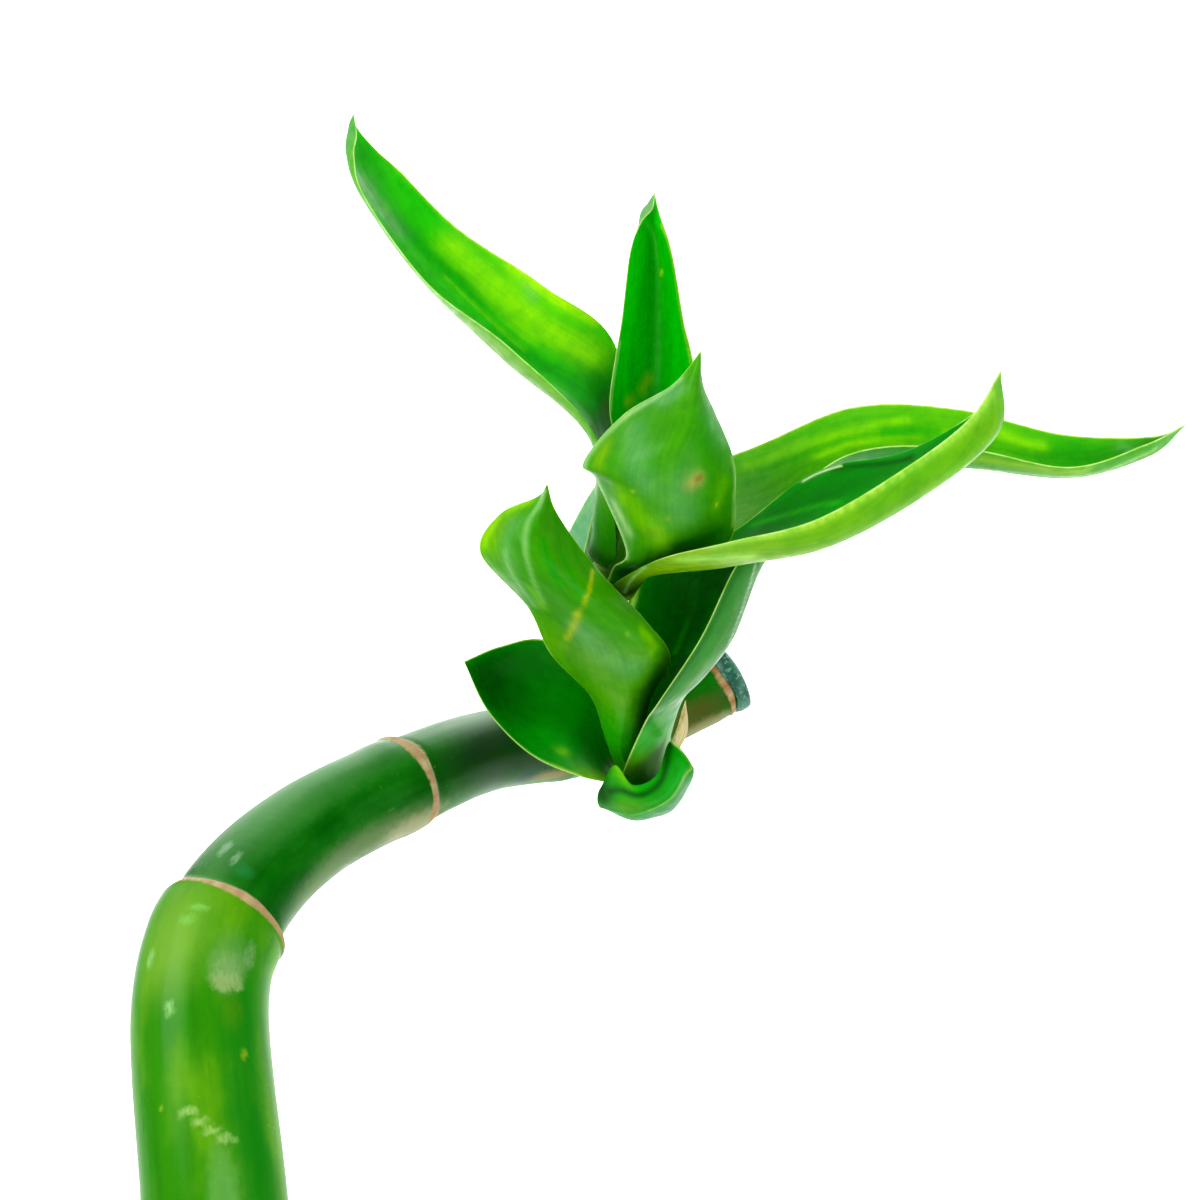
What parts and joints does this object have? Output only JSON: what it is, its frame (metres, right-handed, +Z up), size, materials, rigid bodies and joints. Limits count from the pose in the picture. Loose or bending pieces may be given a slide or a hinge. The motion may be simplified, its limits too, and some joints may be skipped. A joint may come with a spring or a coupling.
{
  "type": "lucky bamboo in a vase",
  "caption": "Bent lucky bamboo cane with a leafy side shoot and a wax-sealed cut end, standing in a plain tapered vase among pebbles and a layer of clear water.",
  "frame": {"origin": "middle of the vase's foot, on the surface that the vase stands on", "axes": "+Z up, -Y to the side that the leafy shoot faces, +X to the side that the cane's cut end points to"},
  "size_m": [0.1843, 0.1929, 0.3824],
  "materials": {
    "vase": "glossy cream white glaze",
    "pebbles": "smooth wet river pebbles",
    "water": "clear water",
    "cane": "smooth green bark, half glossy",
    "wax": "waxy, blue-green",
    "shoot": "smooth, pale green",
    "leaf": "smooth and waxy, half glossy",
    "scale": "dry and papery"
  },
  "bodies": {
    "root": {"vase": "vase", "pebbles": "pebbles", "water": "water", "stalk": "cane", "wax_seal": "wax", "shoot_stem": "shoot", "leaf_upper_left": "leaf", "leaf_top": "leaf", "leaf_upper_front": "leaf", "leaf_right": "leaf", "leaf_far_right": "leaf", "leaf_back": "leaf", "leaf_lower_right": "leaf", "leaf_front": "leaf", "leaf_lower_left": "leaf", "base_sheath": "leaf", "dry_scale": "scale"}
  },
  "joints": []
}
